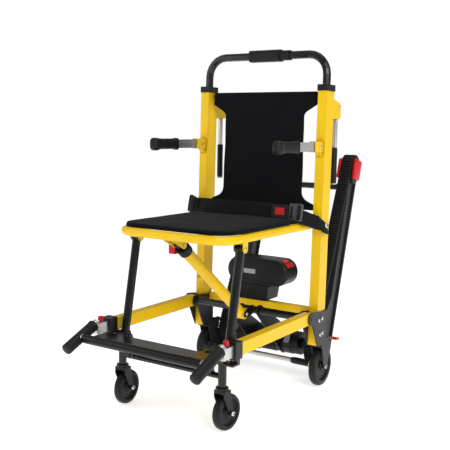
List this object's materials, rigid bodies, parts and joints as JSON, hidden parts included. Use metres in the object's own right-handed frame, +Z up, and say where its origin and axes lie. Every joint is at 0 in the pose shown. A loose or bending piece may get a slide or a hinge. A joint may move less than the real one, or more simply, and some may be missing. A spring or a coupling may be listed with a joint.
{
  "type": "stair chair",
  "caption": "Folding electric stair chair: yellow frame with a telescoping push handle, armrests, seat belt, battery, motor and stair tracks.",
  "frame": {"origin": "on the floor, at the middle of the chair's outline seen from above", "axes": "+Z up; -Y towards the front, where the seated person faces; +X towards the side of the belt's buckle"},
  "size_m": [0.4821, 0.9998, 1.0481],
  "materials": {
    "paint": "satin",
    "black_tube": "satin",
    "bare": "brushed",
    "steel_rod": "brushed",
    "plate": "satin",
    "frame_plate": "satin",
    "plastic": "matte",
    "red": "gloss",
    "grip": "matte",
    "tyre": "matte",
    "cloth": "matte"
  },
  "bodies": {
    "chassis": {"post_left": "paint", "post_right": "paint", "collar_left": "plastic", "collar_right": "plastic", "armrest_bracket_left": "paint", "armrest_bracket_right": "paint", "rear_handle_bracket_left": "paint", "rear_handle_bracket_right": "paint", "side_plate_left": "plate", "side_plate_right": "plate", "back_top_bar": "paint", "backrest_panel": "cloth", "pivot_tube": "black_tube", "battery_bar": "paint", "battery_base": "plastic", "gear_motor": "plastic", "rear_axle": "steel_rod", "lap_strap_left": "cloth", "lap_strap_right": "cloth"},
    "push_handle": {"push_handle": "black_tube", "control_sleeve": "plastic"},
    "armrest_left": {"armrest_bar_left": "bare", "armrest_grip_left": "grip"},
    "rear_handle_left": {"rear_handle_left": "steel_rod"},
    "armrest_right": {"armrest_bar_right": "bare", "armrest_grip_right": "grip"},
    "rear_handle_right": {"rear_handle_right": "steel_rod"},
    "seat": {"seat_frame": "paint", "seat_pan": "plastic", "seat_cushion": "cloth", "buckle_body": "plastic"},
    "buckle_button": {"buckle_button": "red"},
    "base_frame": {"rail_left": "paint", "rail_right": "paint", "caster_frame": "black_tube"},
    "front_legs": {"front_leg_left": "black_tube", "front_leg_right": "black_tube"},
    "brace_tube": {"brace_tube": "paint"},
    "brace_rod": {"brace_rod": "black_tube"},
    "release_button": {"release_button": "red"},
    "carry_frame": {"carry_frame": "bare", "carry_grip_left": "grip", "carry_grip_right": "grip"},
    "lock_button_left": {"lock_button_left": "red"},
    "lock_button_right": {"lock_button_right": "red"},
    "footrest": {"footrest": "black_tube"},
    "caster_left": {"caster_fork_left": "plastic"},
    "caster_wheel_left": {"caster_wheel_left": "tyre"},
    "rear_wheel_left": {"rear_wheel_left": "tyre"},
    "brake_left": {"brake_pedal_left": "red"},
    "caster_right": {"caster_fork_right": "plastic"},
    "caster_wheel_right": {"caster_wheel_right": "tyre"},
    "rear_wheel_right": {"rear_wheel_right": "tyre"},
    "brake_right": {"brake_pedal_right": "red"},
    "battery": {"battery_pack": "plastic"},
    "tracks": {"track_frame": "frame_plate", "track_belt_left": "grip", "track_belt_right": "grip"},
    "drive_shaft": {"drive_shaft": "steel_rod"}
  },
  "joints": [
    {"name": "handle_slide", "type": "slide", "parent": "chassis", "child": "push_handle", "axis": [0, 0.0248, 0.9997], "range_m": [0, 0.25]},
    {"name": "armrest_fold_left", "type": "hinge", "parent": "chassis", "child": "armrest_left", "pos_m": [-0.2135, 0.12734, 0.752], "axis": [-1, 0, 0], "range_deg": [0, 84]},
    {"name": "rear_handle_swing_left", "type": "hinge", "parent": "chassis", "child": "rear_handle_left", "pos_m": [-0.2135, 0.24434, 0.872], "axis": [1, 0, 0], "range_deg": [0, 100]},
    {"name": "armrest_fold_right", "type": "hinge", "parent": "chassis", "child": "armrest_right", "pos_m": [0.2135, 0.12734, 0.752], "axis": [-1, 0, 0], "range_deg": [0, 84]},
    {"name": "rear_handle_swing_right", "type": "hinge", "parent": "chassis", "child": "rear_handle_right", "pos_m": [0.2135, 0.24434, 0.872], "axis": [1, 0, 0], "range_deg": [0, 100]},
    {"name": "seat_fold", "type": "hinge", "parent": "chassis", "child": "seat", "pos_m": [0, 0.14434, 0.512], "axis": [-1, 0, 0], "range_deg": [0, 48], "deforming": ["lap_strap_left", "lap_strap_right"]},
    {"name": "buckle_release", "type": "slide", "parent": "seat", "child": "buckle_button", "axis": [0, 0.9903, -0.1392], "range_m": [0, 0.003], "stiffness_N_per_m": 300},
    {"name": "base_fold", "type": "hinge", "parent": "chassis", "child": "base_frame", "pos_m": [0, 0.09234, 0.235], "axis": [-1, 0, 0], "range_deg": [0, 48]},
    {"name": "leg_fold", "type": "hinge", "parent": "seat", "child": "front_legs", "pos_m": [0, -0.23766, 0.485], "axis": [1, 0, 0], "range_deg": [0, 48]},
    {"name": "brace_swing", "type": "hinge", "parent": "chassis", "child": "brace_tube", "pos_m": [0, 0.05734, 0.227], "axis": [-1, 0, 0], "range_deg": [0, 33]},
    {"name": "brace_rod_swing", "type": "hinge", "parent": "seat", "child": "brace_rod", "pos_m": [0, -0.26766, 0.482], "axis": [1, 0, 0], "range_deg": [0, 17]},
    {"name": "brace_release", "type": "slide", "parent": "brace_tube", "child": "release_button", "axis": [1, 0, 0], "range_m": [0, 0.003], "stiffness_N_per_m": 400},
    {"name": "carry_slide", "type": "slide", "parent": "base_frame", "child": "carry_frame", "axis": [0, -1, 0], "range_m": [0, 0.1]},
    {"name": "carry_lock_left", "type": "slide", "parent": "carry_frame", "child": "lock_button_left", "axis": [0, 0, -1], "range_m": [0, 0.004], "stiffness_N_per_m": 300},
    {"name": "carry_lock_right", "type": "slide", "parent": "carry_frame", "child": "lock_button_right", "axis": [0, 0, -1], "range_m": [0, 0.004], "stiffness_N_per_m": 300},
    {"name": "footrest_fold", "type": "hinge", "parent": "base_frame", "child": "footrest", "pos_m": [0, -0.32466, 0.214], "axis": [1, 0, 0], "range_deg": [-75, 0]},
    {"name": "caster_swivel_left", "type": "hinge", "parent": "base_frame", "child": "caster_left", "pos_m": [-0.1724, -0.30716, 0.05], "axis": [0, 0, 1], "continuous": true},
    {"name": "caster_roll_left", "type": "hinge", "parent": "caster_left", "child": "caster_wheel_left", "pos_m": [-0.17414, -0.28724, 0.05], "axis": [0.9962, 0.0872, 0], "continuous": true},
    {"name": "rear_roll_left", "type": "hinge", "parent": "chassis", "child": "rear_wheel_left", "pos_m": [-0.2135, 0.19234, 0.0625], "axis": [1, 0, 0], "continuous": true},
    {"name": "brake_press_left", "type": "hinge", "parent": "chassis", "child": "brake_left", "pos_m": [-0.2135, 0.21934, 0.143], "axis": [-1, 0, 0], "range_deg": [0, 8]},
    {"name": "caster_swivel_right", "type": "hinge", "parent": "base_frame", "child": "caster_right", "pos_m": [0.1724, -0.30716, 0.05], "axis": [0, 0, 1], "continuous": true},
    {"name": "caster_roll_right", "type": "hinge", "parent": "caster_right", "child": "caster_wheel_right", "pos_m": [0.17414, -0.28724, 0.05], "axis": [0.9962, -0.0872, 0], "continuous": true},
    {"name": "rear_roll_right", "type": "hinge", "parent": "chassis", "child": "rear_wheel_right", "pos_m": [0.2135, 0.19234, 0.0625], "axis": [1, 0, 0], "continuous": true},
    {"name": "brake_press_right", "type": "hinge", "parent": "chassis", "child": "brake_right", "pos_m": [0.2135, 0.21934, 0.143], "axis": [-1, 0, 0], "range_deg": [0, 8]},
    {"name": "battery_lift", "type": "slide", "parent": "chassis", "child": "battery", "axis": [0, 0, 1], "range_m": [0, 0.08]},
    {"name": "track_swing", "type": "hinge", "parent": "chassis", "child": "tracks", "pos_m": [0, 0.26634, 0.1], "axis": [-1, 0, 0], "range_deg": [0, 38]},
    {"name": "drive_spin", "type": "hinge", "parent": "chassis", "child": "drive_shaft", "pos_m": [0, 0.26634, 0.1], "axis": [1, 0, 0], "continuous": true}
  ],
  "couplings": [
    {"joint": "base_fold", "follows": "seat_fold", "ratio": 1},
    {"joint": "leg_fold", "follows": "seat_fold", "ratio": 1},
    {"joint": "brace_swing", "follows": "seat_fold", "ratio": 0.666},
    {"joint": "brace_rod_swing", "follows": "seat_fold", "ratio": 0.334}
  ]
}
